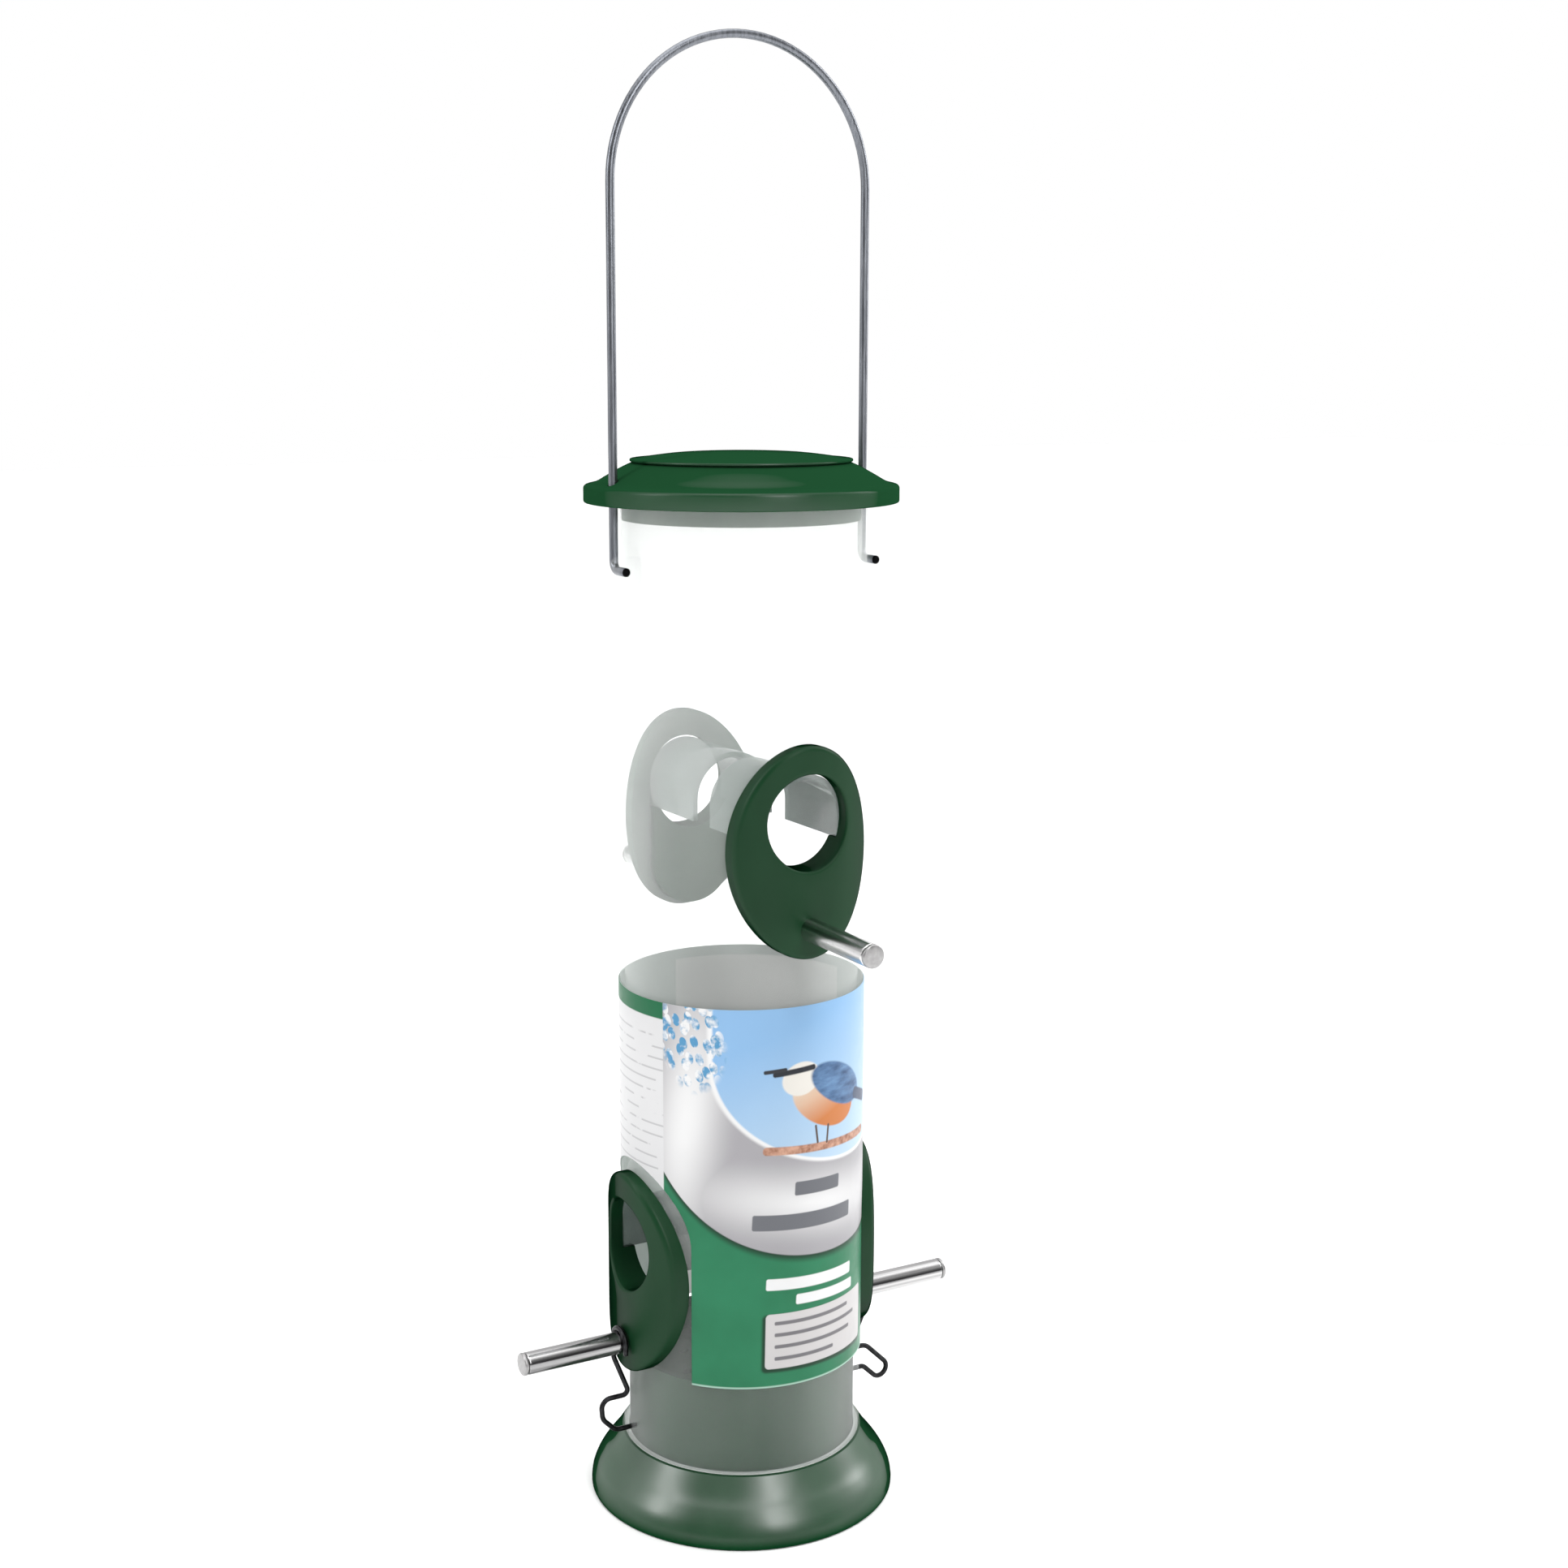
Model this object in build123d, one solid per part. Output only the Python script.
from build123d import *
import os
from math import cos, radians, sin

# Hanging tube feeder for wild birds: a clear tube with four feeding ports in two crossed
# tiers, a sliding lid on a wire bail, and a base that two wire clips lock to the tube.
# Origin: centre of the base's underside. +Z up. The lower ports and the bail lie along X,
# the upper ports along Y. Millimetres.

# Tube
TUBE_R = 35.0
TUBE_WALL = 1.5
TUBE_BORE_R = TUBE_R - TUBE_WALL
TUBE_BOTTOM = 18.0
TUBE_TOP = 292.9
SLIP = 0.2                      # slack between moulded pieces that slip together

# Ports: each is a curved flange with an oval hole, a collar inside the wall and a hood
HOLE_Z_UPPER = 207.2
HOLE_Z_LOWER = 81.0
FLANGE_IN_R = TUBE_R + 0.1
FLANGE_OUT_R = 39.1
FLANGE_HALF_W = 20.75
FLANGE_HALF_H = 29.5
FLANGE_DROP = 8.35              # flange centre below the hole centre
FLANGE_EDGE = 1.1               # rounding of the flange's outer edge
HOLE_HALF_W = 12.3
HOLE_HALF_H = 13.3
HOLE_EDGE = 0.8
HOOD_HALF_W = 12.9
HOOD_WALL = 1.5
HOOD_TIP = 5.0                  # distance of the hood's inner end from the tube's axis
HOOD_SKIRT = 6.0                # the hood's sides end this far below the hole centre
COLLAR_IN = 29.6                # inner face of the collar, from the tube's axis
COLLAR_BOTTOM = 36.2            # collar's lower end below the hole centre

# Perches
PERCH_DROP = 29.5               # perch axis below the hole centre
PERCH_R = 3.25
PERCH_BORE_R = 2.45
PERCH_ROOT = 31.2               # socket floor, from the tube's axis
PERCH_END = 71.0
CAP_HEAD = 1.3
CAP_SPIGOT = 5.0
PERCH_FIT = 0.03                # slack round a perch in its socket
PLUG_LENGTH = 12.0              # plug that stiffens a perch inside its socket

# Label sleeve round the tube between the lower clip holes and the upper ports
LABEL_IN_R = TUBE_R + 0.08
LABEL_OUT_R = TUBE_R + 0.4
LABEL_BOTTOM = 44.5
LABEL_TOP = 155.4
LABEL_CUT_HALF_W = 21.6         # chord half-width of the cut-out round a lower port
LABEL_CUT_TOP = 106.0

# Bail and its lugs
WIRE_R = 1.2
LEG_X = 39.4
FOOT_Z = 274.0
FOOT_LENGTH = 8.0
FOOT_BEND = 2.6
ARCH_Z = 376.0                  # the legs are straight up to here
LUG_OUT_X = 42.4
LUG_HEIGHT = 7.4
LUG_Y = (-6.6, -3.3)

# Lid
LEG_HOLE_R = WIRE_R + 0.3
BRIM_R = 43.7
BRIM_BOTTOM = 291.3
BRIM_TOP = 296.4
BRIM_WALL = 1.8
BRIM_TOP_INNER = 302.2          # top of the brim's cone, just under the lip
LIP_OVERHANG = 0.6
CROWN_NECK = 1.7                # the crown's neck is this much smaller than its lip
LID_SEAT = 293.0                # underside of the lid's plate, on the tube's rim
LIP_R = 30.9
LIP_Z = 302.35
LIP_TOP = 303.2
CROWN_TOP = 305.2
CROWN_UNDER = 299.6
PLUG_R = 33.2
PLUG_WALL = 1.6
PLUG_BOTTOM = 286.5

# Base
SKIRT_WALL = 2.0
LEDGE_Z = 17.9                  # the tube stands here
CUP_R = 33.2
CUP_WALL = 1.6
CUP_TOP = 44.5
CUP_BOTTOM = 3.0
CUP_FLANGE_R = 35.1
SKIRT_SEAT = 13.6               # the cup's flange holds the skirt up here
FLOOR_RIM_Z = 33.5
FLOOR_RISE = 7.0
FLOOR_THICK = 1.6
FLOOR_R = CUP_R - CUP_WALL - SLIP
DRAIN_R = 1.5
DRAIN_CIRCLES = ((12, 26.5), (8, 18.0))

# Base clips: spring wire, hooked over a lower perch, looped, with its end as a locking pin
CLIP_R = 0.75
CLIP_X = 40.2                   # plane of the hook, from the tube's axis
CLIP_Y = PERCH_R + CLIP_R + 0.1
CLIP_TAIL = 2.5                 # the hook's free end hangs this far below the perch axis
SHANK_Z = 45.4                  # the shank is upright down to here
KNEE_X = 35.15
PIN_TIP = 29.0
PIN_HOLE_R = CLIP_R + 0.1

PORTS = {                       # name: (turn about Z from +X, hole height)
    "upper_front": (-90, HOLE_Z_UPPER),
    "upper_rear": (90, HOLE_Z_UPPER),
    "lower_left": (180, HOLE_Z_LOWER),
    "lower_right": (0, HOLE_Z_LOWER),
}
SIDES = {"left": 180, "right": 0}

# Finger loops, bent by hand and so not alike: corners as (distance from the axis, height),
# from the knee to the start of the pin, with the bend radius at each
LOOPS = {
    "left": ((KNEE_X, 32.7, 1.5), (44.4, 32.7, 2.8), (43.9, 26.6, 3.5), (39.8, 22.4, 3.5)),
    "right": ((KNEE_X, 34.3, 1.5), (41.0, 34.3, 4.0), (49.6, 25.9, 2.6), (45.9, 22.1, 2.6),
              (40.2, 27.6, 2.5)),
}
PIN_Z = {side: loop[-1][1] for side, loop in LOOPS.items()}
SHANK_BEND = 5.0

CUT_IN, CUT_OUT = 10, 60        # cutting bars reach from inside the tube to outside the part


def ring(outer_r, inner_r, bottom, top):
    """An upright tube between two heights."""
    body = Cylinder(outer_r, top - bottom, align=(Align.CENTER, Align.CENTER, Align.MIN))
    bore = Cylinder(inner_r, top - bottom + 2, align=(Align.CENTER, Align.CENTER, Align.MIN))
    return Pos(0, 0, bottom) * body - Pos(0, 0, bottom - 1) * bore


def along_x(sketch, start, end):
    """A flat shape, drawn with its own Y up, as a bar along +X from start to end."""
    return extrude(Plane(origin=(start, 0, 0), x_dir=(0, 1, 0), z_dir=(1, 0, 0)) * sketch, end - start)


def rod_x(radius, start, end):
    return along_x(Circle(radius), start, end)


def pin_hole(side):
    """Cutting bar for a clip's pin."""
    return Rot(0, 0, SIDES[side]) * Pos(0, -CLIP_Y, PIN_Z[side]) * rod_x(PIN_HOLE_R, CUT_IN, CUT_OUT)


def placed(shape, port):
    turn, height = PORTS[port]
    return Rot(0, 0, turn) * Pos(0, 0, height) * shape


def hood_outline(half_w):
    """Round-topped outline, open below, whose straight sides end under the hole centre."""
    return Circle(half_w) + Pos(0, -HOOD_SKIRT / 2) * Rectangle(2 * half_w, HOOD_SKIRT)


def collar_outline(half_w, bottom):
    """Outline of the part below the hood: straight sides with a round lower end."""
    straight = bottom - half_w - HOOD_SKIRT
    side = Pos(0, -HOOD_SKIRT - straight / 2) * Rectangle(2 * half_w, straight)
    return side + Pos(0, -HOOD_SKIRT - straight) * Circle(half_w) - Pos(0, half_w) * Rectangle(
        4 * half_w, 2 * (half_w + HOOD_SKIRT))


def make_flange():
    reach = FLANGE_DROP + FLANGE_HALF_H + 5
    shell = ring(FLANGE_OUT_R, FLANGE_IN_R, -reach, reach)
    oval = Pos(0, -FLANGE_DROP) * Ellipse(FLANGE_HALF_W, FLANGE_HALF_H)
    flange = shell & along_x(oval, CUT_IN, CUT_OUT)
    flange -= along_x(Ellipse(HOLE_HALF_W, HOLE_HALF_H), CUT_IN, CUT_OUT)
    outer = [e for e in flange.edges() if e.position_at(0.3).X ** 2 + e.position_at(0.3).Y ** 2
             > (FLANGE_OUT_R - 0.05) ** 2]
    outer = sorted(outer, key=lambda e: e.length)
    flange = fillet(outer[-1:], FLANGE_EDGE)
    return flange


def make_port():
    flange = make_flange()
    depth = Cylinder(FLANGE_IN_R + 0.5, 4 * COLLAR_BOTTOM)
    collar = along_x(collar_outline(HOOD_HALF_W, COLLAR_BOTTOM), COLLAR_IN, CUT_OUT) & depth
    collar -= along_x(Ellipse(HOLE_HALF_W, HOLE_HALF_H), CUT_IN, CUT_OUT)
    port = flange + collar
    port -= Pos(0, 0, -PERCH_DROP) * rod_x(PERCH_R + PERCH_FIT, PERCH_ROOT, CUT_OUT)
    return port


def make_hood():
    arch = hood_outline(HOOD_HALF_W) - hood_outline(HOOD_HALF_W - HOOD_WALL)
    arch -= Pos(0, -HOOD_SKIRT - HOOD_HALF_W) * Rectangle(4 * HOOD_HALF_W, 2 * HOOD_HALF_W)
    return along_x(arch, HOOD_TIP, CUT_OUT) & Cylinder(FLANGE_IN_R - 0.05, 6 * HOOD_HALF_W)


def make_perch():
    tube = rod_x(PERCH_R, PERCH_ROOT, PERCH_END - CAP_HEAD)
    return Pos(0, 0, -PERCH_DROP) * (tube - rod_x(PERCH_BORE_R, PERCH_ROOT - 1, PERCH_END))


def make_perch_cap():
    head = rod_x(PERCH_R, PERCH_END - CAP_HEAD, PERCH_END)
    head = chamfer(head.faces().sort_by(Axis.X)[-1].edges(), 0.5)
    spigot = rod_x(PERCH_BORE_R, PERCH_END - CAP_HEAD - CAP_SPIGOT, PERCH_END - CAP_HEAD)
    return Pos(0, 0, -PERCH_DROP) * (head + spigot)


def make_perch_plug():
    return Pos(0, 0, -PERCH_DROP) * rod_x(PERCH_BORE_R, PERCH_ROOT, PERCH_ROOT + PLUG_LENGTH)


def make_tube():
    tube = ring(TUBE_R, TUBE_BORE_R, TUBE_BOTTOM, TUBE_TOP)
    half_w = HOOD_HALF_W + SLIP
    window = hood_outline(half_w) + collar_outline(half_w, COLLAR_BOTTOM + SLIP)
    for port in PORTS:
        tube -= placed(along_x(window, CUT_IN, CUT_OUT), port)
    for side in SIDES:
        tube -= pin_hole(side)
    return tube


def make_lug():
    width = LUG_OUT_X - TUBE_R + 2
    thick = LUG_Y[1] - LUG_Y[0]
    block = Box(width, thick, LUG_HEIGHT, align=(Align.MAX, Align.MIN, Align.CENTER))
    block = fillet(block.edges().filter_by(Axis.Y).group_by(Axis.X)[-1], 2.2)
    block = Pos(LUG_OUT_X, LUG_Y[0], FOOT_Z) * block
    hole = Pos(LEG_X, 0, FOOT_Z) * Rot(90, 0, 0) * Cylinder(WIRE_R + 0.1, 40)
    return block - hole - Pos(0, 0, FOOT_Z) * Cylinder(TUBE_R, 40)


def make_label():
    sleeve = ring(LABEL_OUT_R, LABEL_IN_R, LABEL_BOTTOM, LABEL_TOP)
    spring = LABEL_CUT_TOP - LABEL_CUT_HALF_W
    height = spring - LABEL_BOTTOM + 5
    arch = Pos(0, spring) * Circle(LABEL_CUT_HALF_W)
    arch += Pos(0, spring - height / 2) * Rectangle(2 * LABEL_CUT_HALF_W, height)
    for turn in SIDES.values():
        sleeve -= Rot(0, 0, turn) * along_x(arch, CUT_IN, CUT_OUT)
    return sleeve


def swept(path, radius):
    """Round wire along a path."""
    section = Plane(origin=path @ 0, z_dir=path % 0) * Circle(radius)
    return sweep(section, path=path)


def make_bail():
    left = FilletPolyline((-LEG_X, -FOOT_LENGTH, FOOT_Z), (-LEG_X, 0, FOOT_Z), (-LEG_X, 0, ARCH_Z),
                          radius=FOOT_BEND)
    arch = ThreePointArc((-LEG_X, 0, ARCH_Z), (0, 0, ARCH_Z + LEG_X), (LEG_X, 0, ARCH_Z))
    right = FilletPolyline((LEG_X, 0, ARCH_Z), (LEG_X, 0, FOOT_Z), (LEG_X, -FOOT_LENGTH, FOOT_Z),
                           radius=FOOT_BEND)
    return swept(Wire(left.edges() + arch.edges() + right.edges()), WIRE_R)


def make_clip(side):
    """A clip on the right-hand side: hook, slanting shank, finger loop and pin, in one wire."""
    near = -CLIP_Y
    perch_z = HOLE_Z_LOWER - PERCH_DROP
    tail = Line((CLIP_X, -near, perch_z - CLIP_TAIL), (CLIP_X, -near, perch_z))
    hook = ThreePointArc((CLIP_X, -near, perch_z), (CLIP_X, 0, perch_z + CLIP_Y), (CLIP_X, near, perch_z))
    bends = ((CLIP_X, SHANK_Z, SHANK_BEND),) + LOOPS[side]
    corners = [(CLIP_X, perch_z)] + [(x, z) for x, z, bend in bends] + [(PIN_TIP, PIN_Z[side])]
    shank = FilletPolyline([(x, near, z) for x, z in corners], radius=[bend for x, z, bend in bends])
    return swept(Wire(tail.edges() + hook.edges() + shank.edges()), CLIP_R)


def revolved(points):
    """Solid of revolution from a closed outline of (radius, height) points."""
    outline = Polyline([(r, 0, z) for r, z in points], close=True)
    return revolve(make_face(outline), Axis.Z)


def make_lid_brim():
    inner_r = LIP_R - CROWN_NECK + 0.1
    top = Spline((43.1, 0, BRIM_TOP - 0.1), (40.1, 0, 297.0), (36.7, 0, 298.9), (33.2, 0, 300.8),
                 (LIP_R - LIP_OVERHANG, 0, BRIM_TOP_INNER))
    under = Spline((inner_r, 0, 299.8), (33.2, 0, 298.7), (36.7, 0, 296.6), (40.6, 0, LID_SEAT + 1.6))
    face = make_face([
        top,
        Line(top @ 1, (inner_r, 0, BRIM_TOP_INNER)),
        Line((inner_r, 0, BRIM_TOP_INNER), under @ 0),
        under,
        Line(under @ 1, (BRIM_R - BRIM_WALL, 0, LID_SEAT + 0.8)),
        Line((BRIM_R - BRIM_WALL, 0, LID_SEAT + 0.8), (BRIM_R - BRIM_WALL, 0, BRIM_BOTTOM)),
        Line((BRIM_R - BRIM_WALL, 0, BRIM_BOTTOM), (BRIM_R - 0.5, 0, BRIM_BOTTOM)),
        Line((BRIM_R - 0.5, 0, BRIM_BOTTOM), (BRIM_R, 0, BRIM_BOTTOM + 0.5)),
        Line((BRIM_R, 0, BRIM_BOTTOM + 0.5), (BRIM_R, 0, BRIM_TOP - 0.7)),
        Line((BRIM_R, 0, BRIM_TOP - 0.7), top @ 0),
    ])
    brim = revolve(face, Axis.Z)
    for x in (-LEG_X, LEG_X):
        brim -= Pos(x, 0, BRIM_TOP) * Cylinder(LEG_HOLE_R, 20)
    return brim


def make_lid_crown():
    neck_r = LIP_R - CROWN_NECK
    face = make_face([
        Line((0, 0, CROWN_UNDER), (0, 0, CROWN_TOP)),
        ThreePointArc((0, 0, CROWN_TOP), (LIP_R / 2, 0, CROWN_TOP - 0.5), (LIP_R - 0.6, 0, LIP_TOP)),
        Line((LIP_R - 0.6, 0, LIP_TOP), (LIP_R, 0, LIP_TOP - 0.5)),
        Line((LIP_R, 0, LIP_TOP - 0.5), (LIP_R, 0, LIP_Z)),
        Line((LIP_R, 0, LIP_Z), (neck_r, 0, LIP_Z)),
        Line((neck_r, 0, LIP_Z), (neck_r, 0, CROWN_UNDER)),
        Line((neck_r, 0, CROWN_UNDER), (0, 0, CROWN_UNDER)),
    ])
    return revolve(face, Axis.Z)


def make_lid_plug():
    """Skirt ring that centres the lid in the tube, with the seat that meets the tube's rim."""
    seat = ring(BRIM_R - BRIM_WALL - 0.1, PLUG_R - PLUG_WALL, LID_SEAT, LID_SEAT + 0.8)
    for x in (-LEG_X, LEG_X):
        seat -= Pos(x, 0, LID_SEAT) * Cylinder(LEG_HOLE_R, 20)
    skirt = ring(PLUG_R, PLUG_R - PLUG_WALL, PLUG_BOTTOM, LID_SEAT)
    neck = ring(PLUG_R, PLUG_R - PLUG_WALL, LID_SEAT, 298.0)
    return seat + skirt + neck


def make_base_skirt():
    outer = Spline((35.5, 0, LEDGE_Z), (38.7, 0, 13.0), (41.1, 0, 10.0), (43.1, 0, 7.0), (44.4, 0, 4.0),
                   (44.8, 0, 1.6))
    inner = Spline((44.8 - SKIRT_WALL, 0, 1.6), (44.4 - SKIRT_WALL, 0, 4.0), (41.0, 0, 7.0),
                   (38.8, 0, 10.0), (35.4, 0, SKIRT_SEAT))
    bore = CUP_R + 0.05
    face = make_face([
        outer,
        Line(outer @ 1, (44.3, 0, 0)),
        Line((44.3, 0, 0), (44.8 - SKIRT_WALL, 0, 0)),
        Line((44.8 - SKIRT_WALL, 0, 0), inner @ 0),
        inner,
        Line(inner @ 1, (bore, 0, SKIRT_SEAT)),
        Line((bore, 0, SKIRT_SEAT), (bore, 0, LEDGE_Z)),
        Line((bore, 0, LEDGE_Z), outer @ 0),
    ])
    return revolve(face, Axis.Z)


def make_base_cup():
    cup = ring(CUP_R, CUP_R - CUP_WALL, CUP_BOTTOM, CUP_TOP)
    ledge = ring(CUP_R - CUP_WALL, CUP_R - CUP_WALL - 2.0, FLOOR_RIM_Z - 2.0, FLOOR_RIM_Z)
    cup += ledge
    flange = ring(CUP_FLANGE_R, CUP_R, SKIRT_SEAT - 1.7, SKIRT_SEAT - 0.1)
    cup += flange
    for side in SIDES:
        cup -= pin_hole(side)
    return cup


def make_seed_floor():
    """Shallow cone that turns the seed out towards the ports, with drain holes."""
    rim, peak = FLOOR_RIM_Z, FLOOR_RIM_Z + FLOOR_RISE
    cone = revolved([(0, peak - FLOOR_THICK), (0, peak), (FLOOR_R, rim + FLOOR_THICK), (FLOOR_R, rim),
                     (FLOOR_R - 2, rim)])
    for count, radius in DRAIN_CIRCLES:
        for i in range(count):
            turn = radians(360 * i / count)
            cone -= Pos(radius * cos(turn), radius * sin(turn), rim) * Cylinder(DRAIN_R, 40)
    return cone


def group(shape):
    """One copy of a small part in each port."""
    return Compound(children=[placed(shape, port) for port in PORTS])


def main():
    os.makedirs("parts", exist_ok=True)
    nodes = {
        "tube": make_tube(),
        "label_sleeve": make_label(),
        "bail": make_bail(),
        "lid_brim": make_lid_brim(),
        "lid_crown": make_lid_crown(),
        "lid_plug": make_lid_plug(),
        "base_skirt": make_base_skirt(),
        "base_cup": make_base_cup(),
        "seed_floor": make_seed_floor(),
    }
    lug = make_lug()
    nodes["tube_lug_right"] = lug
    nodes["tube_lug_left"] = mirror(lug, about=Plane.YZ)
    for side, turn in SIDES.items():
        nodes["base_clip_" + side] = Rot(0, 0, turn) * make_clip(side)
    per_port = {
        "port": make_port(),
        "hood": make_hood(),
        "perch": make_perch(),
        "perch_cap": make_perch_cap(),
    }
    for name, shape in per_port.items():
        for port in PORTS:
            nodes[name + "_" + port] = placed(shape, port)
    nodes["perch_plugs"] = group(make_perch_plug())
    for name, shape in nodes.items():
        export_step(shape, "parts/" + name + ".step")


main()
